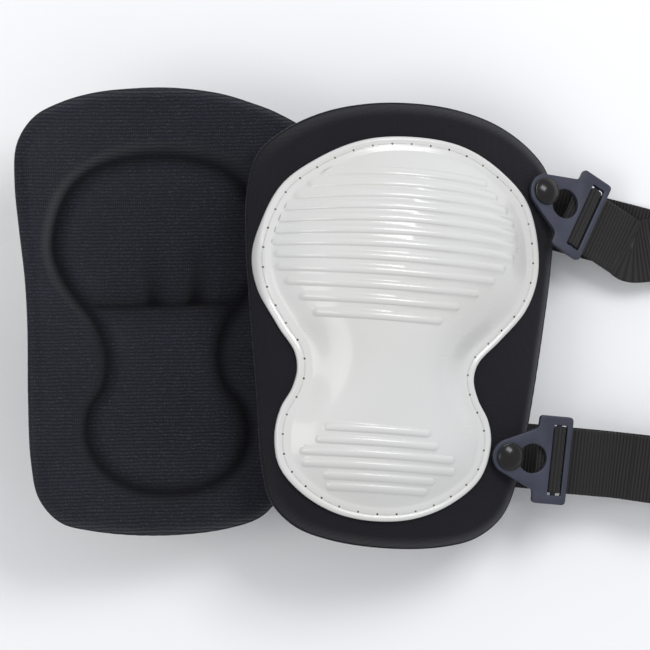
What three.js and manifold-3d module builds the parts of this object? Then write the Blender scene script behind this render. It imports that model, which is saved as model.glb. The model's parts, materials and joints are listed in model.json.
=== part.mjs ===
// A pair of strap-on knee pads for roofing and siding work, in millimetres, +Z up.
// Both pads are built alike, and each is sewn up a little differently. The left one lies on its
// cap, lining up, and the right one, cap up, leans on the left one's rim.
import * as THREE from "three";
import { mergeVertices } from "three/addons/utils/BufferGeometryUtils.js";
import Module from "manifold-3d";

const wasm = await Module();
wasm.setup();

// ---- Driving dimensions ----
const GAP = 0.3; // between pieces that touch
const SKIN = 1.5; // outer cover and lining, laminated cloth
const PAD_THICK = 16; // the margin of the pad, both skins and the foam
const CAP_THICK = 2.2;
const FLANGE = 8; // flat sewn edge of the cap
const DOME_HIGH = 19; // rise of the upper dome
const DOME_LOW = 14; // and of the lower one
const DOME_REACH = 19; // how far in from the flange a dome keeps rising
const RIM_ROLL = 7; // width of the rounded rim
const RIM_FALL = 8; // its fall on the outer side
const RIM_RISE = PAD_THICK - RIM_FALL - 2 * SKIN - GAP; // and on the lining side
const CUSHION = 7; // thickest part of the knee cushions
const CUSHION_RISE = 3; // how far they lift the lining
const GROOVE_DEPTH = 4;
const GROOVE_WIDTH = 5;
const FOLD_Y = 4; // the crease between the two cushions
const TURNS = 32; // corners round each outline

// Half outlines from the top centre, down one side, to the bottom centre.
const PAD_OUTLINES = {
  right: [
    [0, 128.3], [26, 126.4], [52, 119.6], [74, 107.4], [87, 94], [92.4, 72], [91.6, 40],
    [87.4, 0], [81.6, -46], [76.6, -84], [69.3, -106], [54.5, -119.4], [33, -126], [0, -128.6],
  ],
  left: [
    [0, 129.4], [27, 128.8], [46, 126.6], [65, 121.4], [82, 112.5], [91.6, 97], [91.8, 75], [88.2, 50],
    [83.2, 20], [80.4, -10], [78.8, -50], [76.6, -85], [72, -106], [59.3, -120.2], [40, -125.6], [0, -129],
  ],
};
// The side of the left pad towards the right one is drawn in more at its shoulder.
const LEFT_FAR_OUTLINE = [
  [0, 129.4], [28.5, 125.8], [46, 120.4], [62, 113.9], [82, 100.5], [89.6, 84], [93, 60], [90.8, 20],
  [85.2, -20], [79.6, -60], [76.3, -80], [71, -104], [60, -118.5], [40, -125.6], [0, -129],
];
const CAP_OUTLINE = [
  [0, 109.2], [30, 105.5], [56, 92.5], [75, 74.5], [85, 40], [80, 15], [66, -5], [54.5, -19],
  [52.4, -29], [55.3, -40], [61.8, -52], [64.3, -66], [60, -85], [45.4, -100], [24, -110.5], [0, -113.7],
];
const CUSHION_OUTLINE = [
  [0, 91], [36, 84], [54, 69], [64, 38], [56, 16], [40, -6], [34, -25],
  [37, -43], [46, -56], [48, -73], [40, -90], [24, -101], [0, -105],
];
const POLE = new THREE.Vector2(0, -20); // every outline is star-shaped about this point
const STUDS_IN = { right: 0, left: 4 }; // how much further in the studs of each pad are
const WAIST_REACH = 28; // how far along the pad the middle lines bow at the waist

// The middle line of each outline on each pad: x = shift + lean * y, and bow at the waist.
const MIDDLES = {
  right: {
    pad: { shift: 1.5, lean: 0, bow: 0 },
    cap: { shift: -5, lean: 0.04, bow: -4 },
    cushion: { shift: 4, lean: 0.03, bow: -2 },
  },
  left: {
    pad: { shift: 4.5, lean: -0.035, bow: 0 },
    cap: { shift: 0.5, lean: 0.04, bow: -4 },
    cushion: { shift: 5, lean: 0.03, bow: 0 },
  },
};

// Raised bars of the cap, from the top down: their pitch grows by so much from bar to bar.
const BAR_WIDTH = 4.6;
const BAR_HEIGHT = 1.3;
const BAR_ARCH = { flat: 0.0004, top: 0.0014 }; // fall over the square of the distance from the middle
const UPPER_BARS = {
  first: 88.7, pitch: 6.2, growth: 0.13,
  halves: [49, 56, 63, 68, 71, 72, 71, 67, 63, 55.5, 45.5, 36.5],
  shift: { top: -4.3, above: 60, bottom: -14.3, below: 12 }, // of their middles from the cap's
};
const LOWER_BARS = {
  first: -60.4, pitch: 7.4, growth: -0.1,
  halves: [31, 36, 45.5, 45.5, 33, 30],
  shift: { top: -8, above: -62, bottom: -2.5, below: -85 },
};

// Studs, measured along their own axis from the face of the cover.
const POST_RADIUS = 3.5;
const BUTTON_RADIUS = 8;
const BUTTON_BASE = 6.7;
const BUTTON_HEIGHT = 3.6;
const WASHER_RADIUS = 4.1;
const WASHER = 1.2;
const STUDS = {
  upper: { y: 83, inset: 10.5, leanY: 3, leanX: -12 },
  lower: { y: -71, inset: 13, leanY: 0, leanX: -9 },
};

// Hooks, in their own plane, from the stud's axis towards the strap.
const HOOK_THICK = 3.2;
const HOOK_LIFT = 3; // underside of the plate above the cover
const NOSE_RADIUS = 10.2;
const KEYHOLE_RADIUS = 4;
const HOLE_X = 14.2;
const HOLE_RADIUS = 8.65;
const SHOULDER = { x: 16.4, half: 18.2 };
const BLOCK = { end: 37.1, half: 25.65 };
const SLOT = { start: 25.4, end: 33.9, half: 20.5 };
const CENTRE_BAR = { start: 28.2, end: 31.2, low: -0.9, high: 1 };

// Webbing
const WEB = 1.6;
const WEB_HALF = 19;
const WEB_LOW = -GAP - WEB / 2; // middle of the webbing under a hook's plate
const WEB_HIGH = CENTRE_BAR.high + GAP + WEB / 2; // and over its centre bar
const LOOP_END = 46;
const SWING_RADIUS = 60; // end of the piece of webbing that swings with the hook

// ---- Outlines ----
const { lerp, smoothstep, degToRad } = THREE.MathUtils;

const middleX = ({ shift, lean, bow }, y) =>
  shift + lean * y + bow * Math.exp(-(((y - POLE.y) / WAIST_REACH) ** 2));

// A closed smooth outline, sampled finely, anticlockwise, about its middle line.
function closedOutline(half, middle, inset = 0, farHalf = half) {
  const right = [...half].reverse().map(([x, y]) => new THREE.Vector3(x, y, 0));
  const left = farHalf.slice(1, -1).map(([x, y]) => new THREE.Vector3(-x, y, 0));
  const curve = new THREE.CatmullRomCurve3([...right, ...left], true, "centripetal");
  const count = 160;
  return Array.from({ length: count }, (_, i) => {
    const p = curve.getPoint(i / count);
    const t = curve.getTangent(i / count);
    const y = p.y + t.x * inset;
    return new THREE.Vector2(p.x - t.y * inset + middleX(middle, y), y);
  });
}

// Distance from the pole to an outline in one direction.
function reach(outline, angle) {
  const dir = new THREE.Vector2(Math.cos(angle), Math.sin(angle));
  for (let i = 0; i < outline.length; i++) {
    const a = outline[i].clone().sub(POLE);
    const b = outline[(i + 1) % outline.length].clone().sub(POLE);
    const ca = dir.cross(a);
    const cb = dir.cross(b);
    if (ca <= 0 && cb > 0) return a.lerp(b, ca / (ca - cb)).length();
  }
  throw new Error("an outline isn't star-shaped about the pole");
}

// A distance to an outline that stays smooth in the middle: sqrt(2 / sum of the integral of 1/r^3).
function softDistance(outline, x, y) {
  let sum = 0;
  for (let i = 0; i < outline.length; i++) {
    const a = outline[i];
    const b = outline[(i + 1) % outline.length];
    const length = a.distanceTo(b);
    const ux = (b.x - a.x) / length;
    const uy = (b.y - a.y) / length;
    const along = (x - a.x) * ux + (y - a.y) * uy;
    const off2 = Math.max(((x - a.x) * uy - (y - a.y) * ux) ** 2, 1e-4);
    const end = length - along;
    sum += (along / Math.sqrt(along ** 2 + off2) + end / Math.sqrt(end ** 2 + off2)) / off2;
  }
  return Math.sqrt(2 / sum);
}

const angles = Array.from({ length: TURNS }, (_, j) => (2 * Math.PI * j) / TURNS);

// The outlines, grid and stud frames of the pad being built.
let padEdge, capEdge, domeEdge, cushionEdge, capMiddleLine, grid, studFrames;

function usePad(side) {
  const middles = MIDDLES[side];
  capMiddleLine = middles.cap;
  padEdge = closedOutline(PAD_OUTLINES[side], middles.pad, 0, side === "left" ? LEFT_FAR_OUTLINE : undefined);
  capEdge = closedOutline(CAP_OUTLINE, middles.cap);
  domeEdge = closedOutline(CAP_OUTLINE, middles.cap, FLANGE);
  cushionEdge = closedOutline(CUSHION_OUTLINE, middles.cushion);
  grid = angles.map(ringsAt);
  const extra = STUDS_IN[side];
  studFrames = { upper: studFrame(STUDS.upper, extra), lower: studFrame(STUDS.lower, extra) };
}

const inside = (outline, x, y) =>
  Math.hypot(x - POLE.x, y - POLE.y) < reach(outline, Math.atan2(y - POLE.y, x - POLE.x));

// ---- Surfaces of a pad, in its own frame: the cap faces +z, the knee is below ----
function crown(x, y) {
  const across = lerp(0.0016, 0.0028, smoothstep(y, -90, 60));
  const top = Math.max(0, y - 10);
  const bottom = Math.max(0, -30 - y);
  return -across * x * x - 0.001 * top * top - 0.0008 * bottom * bottom;
}

function dome(x, y) {
  if (!inside(domeEdge, x, y)) return 0;
  const rise = lerp(DOME_LOW, DOME_HIGH, smoothstep(y, -60, 0));
  return rise * (1 - Math.exp(-((softDistance(domeEdge, x, y) / DOME_REACH) ** 1.3)));
}

const rimShare = (x, y) => Math.max(0, 1 - softDistance(padEdge, x, y) / RIM_ROLL) ** 2;
const coverTop = (x, y) => crown(x, y) + dome(x, y) - RIM_FALL * rimShare(x, y);
const coverBottom = (x, y) => coverTop(x, y) - SKIN;
const capBottom = (x, y) => coverTop(x, y) + GAP;
const capTop = (x, y) => capBottom(x, y) + CAP_THICK;
const capMiddle = (x, y) => capBottom(x, y) + CAP_THICK / 2;

function liningBottom(x, y) {
  const near = softDistance(cushionEdge, x, y);
  const groove = GROOVE_DEPTH * Math.exp(-((near / GROOVE_WIDTH) ** 2));
  const rise = inside(cushionEdge, x, y) ? CUSHION_RISE * (1 - Math.exp(-near / GROOVE_WIDTH)) : 0;
  const cup = 0.75 * dome(x, y);
  return crown(x, y) + cup - PAD_THICK + groove - rise + RIM_RISE * rimShare(x, y);
}

const liningTop = (x, y) => liningBottom(x, y) + SKIN;
const cushionBottom = (x, y) => liningTop(x, y) + GAP;

function cushionTop(x, y) {
  const full = 1 - Math.exp(-softDistance(cushionEdge, x, y) / 12);
  return cushionBottom(x, y) + 0.6 + (CUSHION - 0.6) * full;
}

const foamTop = (x, y) => coverBottom(x, y) - GAP;
const foamBottom = (x, y) =>
  inside(cushionEdge, x, y) ? cushionTop(x, y) + GAP : liningTop(x, y) + GAP;

// ---- Rings of the common grid, as distances from the pole at one angle ----
function ringsAt(angle) {
  const cushion = reach(cushionEdge, angle);
  const cap = reach(capEdge, angle);
  const pad = reach(padEdge, angle);
  const flange = Math.min(Math.max(reach(domeEdge, angle), cushion + 2), cap - 2);
  const margin = pad - cap;
  return {
    cushion: [0.45 * cushion, 0.8 * cushion, cushion - 0.01],
    cap: [flange, cap],
    rim: [pad - Math.min(RIM_ROLL, 0.6 * margin), pad - Math.min(3, 0.3 * margin)],
    pad: [pad],
  };
}

// ---- Solids ----
function geometryOf(points, faces) {
  const geometry = new THREE.BufferGeometry();
  geometry.setAttribute("position", new THREE.Float32BufferAttribute(points.flat(), 3));
  geometry.setIndex(faces.flat());
  return geometry;
}

// Both triangles of a quad a-b-c-d, anticlockwise from outside.
const quad = (a, b, c, d) => [[a, b, c], [a, c, d]];

// A closed body between two heights over the named rings of the common grid.
function layer(parts, top, bottom) {
  const rings = grid.map((g) => parts.flatMap((part) => g[part]));
  const count = rings[0].length;
  const points = [];
  for (const height of [top, bottom]) {
    points.push([POLE.x, POLE.y, height(POLE.x, POLE.y)]);
    for (let k = 0; k < count; k++)
      angles.forEach((angle, j) => {
        const x = POLE.x + rings[j][k] * Math.cos(angle);
        const y = POLE.y + rings[j][k] * Math.sin(angle);
        points.push([x, y, height(x, y)]);
      });
  }
  const side = 1 + count * TURNS;
  const at = (s, k, j) => s * side + 1 + k * TURNS + (j % TURNS);
  const faces = [];
  for (let j = 0; j < TURNS; j++) {
    faces.push([0, at(0, 0, j), at(0, 0, j + 1)], [side, at(1, 0, j + 1), at(1, 0, j)]);
    for (let k = 0; k + 1 < count; k++) {
      faces.push([at(0, k, j), at(0, k + 1, j), at(0, k + 1, j + 1)]);
      faces.push([at(0, k, j), at(0, k + 1, j + 1), at(0, k, j + 1)]);
      faces.push([at(1, k, j), at(1, k + 1, j + 1), at(1, k + 1, j)]);
      faces.push([at(1, k, j), at(1, k, j + 1), at(1, k + 1, j + 1)]);
    }
    const last = count - 1;
    faces.push(...quad(at(0, last, j), at(1, last, j), at(1, last, j + 1), at(0, last, j + 1)));
  }
  return geometryOf(points, faces);
}

// A closed body through equal cross-sections, each a ring of points anticlockwise seen from ahead.
// An open body's ends are strips between the first and the second half of the ring.
function loft(sections, closed = false) {
  const n = sections[0].length;
  const m = sections.length;
  const at = (i, j) => (i % m) * n + (j % n);
  const faces = [];
  for (let i = 0; i < (closed ? m : m - 1); i++)
    for (let j = 0; j < n; j++)
      faces.push(...quad(at(i, j), at(i, j + 1), at(i + 1, j + 1), at(i + 1, j)));
  if (!closed)
    for (let j = 0; j + 1 < n / 2; j++) {
      faces.push(...quad(at(0, j), at(0, n - 1 - j), at(0, n - 2 - j), at(0, j + 1)));
      faces.push(...quad(at(m - 1, j), at(m - 1, j + 1), at(m - 1, n - 2 - j), at(m - 1, n - 1 - j)));
    }
  return geometryOf(sections.flat(), faces);
}

function solid(geometry) {
  const plain = geometry.clone();
  plain.deleteAttribute("normal");
  plain.deleteAttribute("uv");
  const merged = mergeVertices(plain, 1e-4);
  return new wasm.Manifold(new wasm.Mesh({
    numProp: 3,
    vertProperties: merged.attributes.position.array,
    triVerts: new Uint32Array(merged.index.array),
  }));
}

function geometryFrom(manifold) {
  const mesh = manifold.getMesh();
  const geometry = new THREE.BufferGeometry();
  geometry.setAttribute("position", new THREE.Float32BufferAttribute(mesh.vertProperties, 3));
  geometry.setIndex([...mesh.triVerts]);
  return geometry;
}

const box = (x0, x1, y0, y1, z0, z1) =>
  new THREE.BoxGeometry(x1 - x0, y1 - y0, z1 - z0).translate((x0 + x1) / 2, (y0 + y1) / 2, (z0 + z1) / 2);

// A turned piece about +z, from [radius, z] corners, first and last on the axis.
const turned = (corners, segments = 16) =>
  new THREE.LatheGeometry(corners.map(([r, z]) => new THREE.Vector2(r, z)), segments).rotateX(Math.PI / 2);

const drum = (radius, z0, z1, segments = 16) =>
  turned([[0, z0], [radius, z0], [radius, z1], [0, z1]], segments);

// ---- Materials ----
const paint = (color, roughness, metalness = 0) => () =>
  new THREE.MeshStandardMaterial({ color, roughness, metalness });
const shell = paint(0xe4e5e2, 0.18);
const thread = paint(0xd8d8d4, 0.8);
const cloth = paint(0x17151b, 0.9);
const foam = paint(0x3a3a3d, 0.95);
const knit = paint(0x14161d, 0.95);
const stud = paint(0x0b0b0c, 0.2, 0.3);
const plastic = paint(0x23262e, 0.45);
const elastic = paint(0x141214, 0.9);

function piece(name, geometry, material) {
  const mesh = new THREE.Mesh(geometry, material());
  mesh.name = name;
  return mesh;
}

// ---- Cap ----
// A strip as tall as the cap and as wide as a bar, arched along the pad.
function barStrip(y, half, shift) {
  const share = smoothstep(y, shift.below, shift.above);
  const x = middleX(capMiddleLine, y) + lerp(shift.bottom, shift.top, share);
  const arch = lerp(BAR_ARCH.flat, BAR_ARCH.top, smoothstep(y, 20, 90));
  const row = (side) => BAR_STEPS.map((step) =>
    new THREE.Vector2(x + step * half, y - arch * (step * half) ** 2 + (side * BAR_WIDTH) / 2));
  const shape = new THREE.Shape([...row(-1), ...row(1).reverse()]);
  return solid(new THREE.ExtrudeGeometry(shape, { depth: 160, bevelEnabled: false }).translate(0, 0, -80));
}

const BAR_STEPS = [-1, -0.6, -0.2, 0.2, 0.6, 1];

// The bars are strips of a second shell a little over the first, so they follow its facets.
function capGeometry() {
  const plain = solid(layer(["cushion", "cap"], capTop, capBottom));
  const raised = solid(layer(["cushion", "cap"], (x, y) => capTop(x, y) + BAR_HEIGHT, capMiddle));
  const strips = [UPPER_BARS, LOWER_BARS].flatMap(({ first, pitch, growth, halves, shift }) =>
    halves.map((half, i) => barStrip(first - pitch * i - growth * i * i, half, shift)));
  return geometryFrom(plain.add(raised.intersect(strips.reduce((all, strip) => all.add(strip)))));
}

// Height of the cap's plain facets at a point.
function capFacets() {
  const surface = new THREE.Mesh(layer(["cushion", "cap"], capTop, capBottom), shell());
  const caster = new THREE.Raycaster();
  const down = new THREE.Vector3(0, 0, -1);
  return (x, y) => {
    caster.set(new THREE.Vector3(x, y, 100), down);
    return caster.intersectObject(surface)[0].point.z;
  };
}

// The thread lies just over the flange, and follows each of its facets.
const THREAD = { from: 0.38, to: 0.52, low: 0.4, high: 1 };

function stitchingGeometry() {
  const height = capFacets();
  const sections = angles.flatMap((_, j) => [0, THREAD.from, THREAD.to].map((part) => {
    const corner = (share, lift) => {
      const ends = [grid[j], grid[(j + 1) % TURNS]].map((g, i) => {
        const angle = (2 * Math.PI * (j + i)) / TURNS;
        const r = lerp(g.cap[0], g.cap[1], share);
        return new THREE.Vector2(POLE.x + r * Math.cos(angle), POLE.y + r * Math.sin(angle));
      });
      const { x, y } = ends[0].lerp(ends[1], part);
      return [x, y, height(x, y) + lift];
    };
    const { from, to, low, high } = THREAD;
    return [corner(from, low), corner((from + to) / 2, high), corner(to, low)];
  }));
  return loft(sections, true);
}

// ---- Studs ----
// Where the pad's edge is on one side (1 or -1) at a height.
function edgeX(y, side) {
  const nearer = (a, b) => (Math.abs(b.y - y) < Math.abs(a.y - y) ? b : a);
  return padEdge.filter((p) => p.x * side > 0).reduce(nearer).x;
}

// The frame of a stud in the pad: its foot on the cover and its axis.
function studFrame({ y, inset, leanX, leanY }, extra) {
  const x = edgeX(y, 1) - inset - extra;
  const step = 0.5;
  const slopeX = (coverTop(x + step, y) - coverTop(x - step, y)) / (2 * step);
  const slopeY = (coverTop(x, y + step) - coverTop(x, y - step)) / (2 * step);
  const axis = new THREE.Vector3(-slopeX, -slopeY, 1).normalize();
  axis.applyAxisAngle(new THREE.Vector3(1, 0, 0), -degToRad(leanY));
  axis.applyAxisAngle(new THREE.Vector3(0, 1, 0), degToRad(leanX));
  const turn = new THREE.Quaternion().setFromUnitVectors(new THREE.Vector3(0, 0, 1), axis);
  const foot = new THREE.Vector3(x, y, coverTop(x, y));
  return new THREE.Matrix4().compose(foot, turn, new THREE.Vector3(1, 1, 1));
}

const WASHER_TOP = -SKIN - 2.4;

function buttonGeometry() {
  const base = BUTTON_BASE;
  const top = base + BUTTON_HEIGHT;
  return turned([
    [0, base], [BUTTON_RADIUS - 1, base], [BUTTON_RADIUS, base + 0.8],
    [BUTTON_RADIUS - 0.8, base + 1.9], [BUTTON_RADIUS - 3.2, base + 3.1], [0, top],
  ]);
}

const postGeometry = () => drum(POST_RADIUS, WASHER_TOP + GAP, BUTTON_BASE - GAP, 12);
const washerGeometry = () => drum(WASHER_RADIUS, WASHER_TOP - WASHER, WASHER_TOP, 12);

// Takes a round hole along each stud out of a layer.
function drilled(geometry, radius, low, high) {
  let body = solid(geometry);
  for (const frame of Object.values(studFrames))
    body = body.subtract(solid(drum(radius, low, high, 12).applyMatrix4(frame)));
  return geometryFrom(body);
}

// ---- One pad ----
function pad(prefix) {
  const made = new THREE.Group();
  const whole = ["cushion", "cap", "rim", "pad"];
  const coverBody = drilled(layer(whole, coverTop, coverBottom), POST_RADIUS + GAP, -8, 8);
  const pocket = WASHER_TOP - WASHER - GAP;
  const core = layer(["cushion", "cap", "rim"], foamTop, foamBottom);
  const foamBody = drilled(core, WASHER_RADIUS + GAP, pocket, 8);
  const cushions = solid(layer(["cushion"], cushionTop, cushionBottom));
  const half = (y0, y1) => geometryFrom(cushions.intersect(solid(box(-150, 150, y0, y1, -80, 80))));
  made.add(piece(`${prefix}_cap`, capGeometry(), shell));
  made.add(piece(`${prefix}_cap_stitching`, stitchingGeometry(), thread));
  made.add(piece(`${prefix}_outer_cover`, coverBody, cloth));
  made.add(piece(`${prefix}_foam_core`, foamBody, foam));
  made.add(piece(`${prefix}_upper_cushion`, half(FOLD_Y + 1, 150), foam));
  made.add(piece(`${prefix}_lower_cushion`, half(-150, FOLD_Y - 1), foam));
  made.add(piece(`${prefix}_lining`, layer(whole, liningTop, liningBottom), knit));
  for (const [level, frame] of Object.entries(studFrames)) {
    made.add(piece(`${prefix}_${level}_stud_button`, buttonGeometry().applyMatrix4(frame), stud));
    made.add(piece(`${prefix}_${level}_stud_post`, postGeometry().applyMatrix4(frame), stud));
    made.add(piece(`${prefix}_${level}_stud_washer`, washerGeometry().applyMatrix4(frame), stud));
  }
  return made;
}

// ---- Where the two pads lie ----
const turnY = new THREE.Vector3(0, 1, 0);
const turnZ = new THREE.Vector3(0, 0, 1);
const spin = (axis, degrees) => new THREE.Quaternion().setFromAxisAngle(axis, degToRad(degrees));

function placed(position, ...turns) {
  const turn = turns.reduce((all, next) => all.multiply(next));
  return new THREE.Matrix4().compose(new THREE.Vector3(...position), turn, new THREE.Vector3(1, 1, 1));
}

const rightPlace = placed([44, -0.6, 74.8], spin(turnZ, -4), spin(turnY, 15));
const leftPlace = placed([-96, 7.5, 27.5], spin(turnZ, 0.8), spin(turnY, 11), spin(turnY, 180));

// ---- Hooks ----
function hookGeometry() {
  const shoulder = Math.hypot(SHOULDER.x, SHOULDER.half);
  const tangent = Math.atan2(SHOULDER.half, SHOULDER.x) + Math.acos(NOSE_RADIUS / shoulder);
  const outline = new THREE.Shape();
  outline.absarc(0, 0, NOSE_RADIUS, tangent, 2 * Math.PI - tangent, false);
  outline.lineTo(SHOULDER.x, -SHOULDER.half);
  outline.lineTo(SHOULDER.x, -BLOCK.half);
  outline.lineTo(BLOCK.end, -BLOCK.half);
  outline.lineTo(BLOCK.end, BLOCK.half);
  outline.lineTo(SHOULDER.x, BLOCK.half);
  outline.lineTo(SHOULDER.x, SHOULDER.half);
  outline.closePath();
  const solidPlate = { depth: HOOK_THICK, bevelEnabled: false, curveSegments: 10 };
  const plate = new THREE.ExtrudeGeometry(outline, solidPlate);
  const neck = POST_RADIUS + GAP;
  const barHalf = SLOT.half + 1;
  const centreBar = box(
    CENTRE_BAR.start, CENTRE_BAR.end, -barHalf, barHalf, CENTRE_BAR.low, CENTRE_BAR.high,
  );
  return geometryFrom(
    solid(plate)
      .subtract(solid(drum(KEYHOLE_RADIUS, -1, HOOK_THICK + 1)))
      .subtract(solid(box(0, HOLE_X, -neck, neck, -1, HOOK_THICK + 1)))
      .subtract(solid(drum(HOLE_RADIUS, -1, HOOK_THICK + 1, 20).translate(HOLE_X, 0, 0)))
      .subtract(solid(box(SLOT.start, SLOT.end, -SLOT.half, SLOT.half, -1, HOOK_THICK + 1)))
      .add(solid(centreBar)),
  );
}

// The webbing through a hook: from the strap, under the outer bar, over the centre bar, and back as a tail.
const CLEAR = GAP + WEB / 2 + 0.2;
const TAIL_END = HOLE_X + POST_RADIUS + 1;
const LOOP_PATH = [
  [LOOP_END, WEB_LOW], [SLOT.end - 0.4, WEB_LOW], [CENTRE_BAR.end + CLEAR, -0.2],
  [CENTRE_BAR.end + CLEAR, CENTRE_BAR.high + 0.2], [CENTRE_BAR.end + 0.4, WEB_HIGH],
  [CENTRE_BAR.start - 0.4, WEB_HIGH], [CENTRE_BAR.start - CLEAR, CENTRE_BAR.high + 0.2],
  [CENTRE_BAR.start - CLEAR, -0.2], [SLOT.start + 0.6, WEB_LOW], [TAIL_END, WEB_LOW],
];

// One side of a path in a plane, moved out by half the webbing's thickness.
function offsetPath(path, distance) {
  const points = path.map(([x, y]) => new THREE.Vector2(x, y));
  const normals = points.slice(1).map((p, i) => {
    const d = p.clone().sub(points[i]).normalize();
    return new THREE.Vector2(-d.y, d.x);
  });
  return points.map((p, i) => {
    const a = normals[Math.max(i - 1, 0)];
    const b = normals[Math.min(i, normals.length - 1)];
    const mitre = a.clone().add(b).normalize();
    return p.clone().addScaledVector(mitre, distance / mitre.dot(a));
  });
}

function loopGeometry() {
  const outline = [...offsetPath(LOOP_PATH, WEB / 2), ...offsetPath(LOOP_PATH, -WEB / 2).reverse()];
  const across = { depth: 2 * WEB_HALF, bevelEnabled: false };
  const body = new THREE.ExtrudeGeometry(new THREE.Shape(outline), across);
  return body.translate(0, 0, -WEB_HALF).rotateX(Math.PI / 2);
}

// The short run beside the loop that swings round the stud with the hook: its far end is an arc.
const WIDTHS = [-1, -0.5, 0, 0.5, 1].map((share) => share * WEB_HALF);
const arcEnd = (radius, y) => Math.sqrt(radius ** 2 - y ** 2);

function swingingLoopGeometry() {
  const outline = new THREE.Shape([
    new THREE.Vector2(LOOP_END - 1, -WEB_HALF),
    ...WIDTHS.map((y) => new THREE.Vector2(arcEnd(SWING_RADIUS, y), y)),
    new THREE.Vector2(LOOP_END - 1, WEB_HALF),
  ]);
  const run = new THREE.ExtrudeGeometry(outline, { depth: WEB, bevelEnabled: false });
  return geometryFrom(solid(loopGeometry()).add(solid(run.translate(0, 0, WEB_LOW - WEB / 2))));
}

// ---- Straps ----
// A strip of webbing along a curve. Each knot is [position, width direction]; starts gives, for each
// column of the first section, how far it is moved along the strap.
function webbing(knots, steps, columns = [-WEB_HALF, WEB_HALF], starts = () => 0) {
  const curve = new THREE.CatmullRomCurve3(knots.map(([p]) => p), false, "centripetal");
  const sections = Array.from({ length: steps + 1 }, (_, i) => {
    const u = i / steps;
    const along = u * (knots.length - 1);
    const k = Math.min(Math.floor(along), knots.length - 2);
    const p = curve.getPoint(u);
    const t = curve.getTangent(u);
    const w = knots[k][1].clone().lerp(knots[k + 1][1], along - k);
    w.addScaledVector(t, -w.dot(t)).normalize();
    const n = t.clone().cross(w);
    const row = (side, widths) => widths.map((v) =>
      p.clone().addScaledVector(w, v).addScaledVector(n, (side * WEB) / 2)
        .addScaledVector(t, i === 0 ? starts(v) : 0).toArray());
    return [...row(-1, columns), ...row(1, [...columns].reverse())];
  });
  return loft(sections);
}

// A frame with +x towards the strap and +z along the stud.
function hookFrame(origin, towards, up) {
  const x = towards.clone().addScaledVector(up, -towards.dot(up)).normalize();
  return new THREE.Matrix4().makeBasis(x, up.clone().cross(x), up).setPosition(origin);
}

function studdedHookFrame(level, towards) {
  const world = rightPlace.clone().multiply(studFrames[level]);
  const up = new THREE.Vector3().setFromMatrixColumn(world, 2).normalize();
  const origin = new THREE.Vector3(0, 0, HOOK_LIFT).applyMatrix4(world);
  return hookFrame(origin, towards, up);
}

const at = (x, y, z) => new THREE.Vector3(x, y, z);
const across = at(0, 1, 0);

const STRAP_Y = { upper: 60, lower: -72 };

// A knot under a pad's lining, where a strap is sewn on, flat along the lining's slope.
const SEWN_ROOM = GAP + WEB / 2 + 1.6;

function sewnKnot(place, level, inset) {
  const y = STRAP_Y[level];
  const x = edgeX(y, -1) + inset;
  const point = (v) => at(x, y + v, liningBottom(x, y + v) - SEWN_ROOM).applyMatrix4(place);
  const [low, high] = [point(-WEB_HALF), point(WEB_HALF)];
  return [low.clone().lerp(high, 0.5), high.clone().sub(low).normalize()];
}

const HOOK_TOWARDS = { upper: at(0.905, -0.425, 0), lower: at(0.995, -0.105, 0) };

// The right pad's strap: from its hook out to a fold, back under the pad, and up to its far margin.
function hookedStrap(level, frame) {
  const inHook = (x) => at(x, 0, WEB_LOW).applyMatrix4(frame);
  const width = at(0, 1, 0).transformDirection(frame);
  const start = inHook(SWING_RADIUS + 2 * GAP);
  const sewn = [21, 13, 5].map((inset) => sewnKnot(rightPlace, level, inset));
  const middle = {
    upper: [
      at(200, 45, 8), at(214, 41, 8), at(219, 39.5, 5.2), at(214, 41, 2.4), at(196, 46, 1.7),
      at(150, 58, 1.8), at(118, 66, 4), at(60, 69, 28), at(14, 69, 51.5), at(-6, 69, 57),
    ],
    lower: [
      at(196, -86, 34), at(220, -88, 23), at(226, -88.5, 12), at(214, -87, 2.6), at(196, -85, 1.2),
      at(160, -81, 3), at(118, -77, 12), at(60, -71, 34), at(14, -68, 50), at(-4, -67, 55),
    ],
  }[level];
  const knots = [
    [start, width], [inHook(SWING_RADIUS + 7), width],
    ...middle.map((p, i) => [p, i < 1 ? width.clone().lerp(across, 0.6) : across]),
    ...sewn,
  ];
  const radius = SWING_RADIUS + 2 * GAP;
  return webbing(knots, 48, WIDTHS, (v) => arcEnd(radius, v) - radius);
}

// The left pad's strap: over its rim, down, doubled under the pad, and out to a loose hook.
const LOOSE_HOOK_X = 62;

function looseHookFrame(level) {
  const y = { upper: 68, lower: -64 }[level];
  return hookFrame(at(LOOSE_HOOK_X, y, WEB / 2 - WEB_LOW + 0.1), at(-1, 0, 0), turnZ);
}

function looseStrap(level, frame) {
  const { y, z } = at(LOOP_END + GAP, 0, WEB_LOW).applyMatrix4(frame);
  const second = z + WEB + 0.5;
  const [edge] = sewnKnot(leftPlace, level, 1);
  const lying = [
    [LOOSE_HOOK_X - LOOP_END - GAP, z], [-20, z], [-80, z], [-131, z], [-134, z + 0.1],
    [-135.5, (z + second) / 2], [-134, second], [-131, second], [-80, second], [-10, second],
    [5, second + 4], [edge.x + 7, edge.z - 14], [edge.x + 5, edge.z + 0.5],
  ].map(([px, pz]) => [at(px, y, pz), across]);
  const sewn = [5, 12, 19].map((inset) => sewnKnot(leftPlace, level, inset));
  return webbing([...lying, ...sewn], 46);
}

// ---- The pair ----
const group = new THREE.Group();

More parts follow.
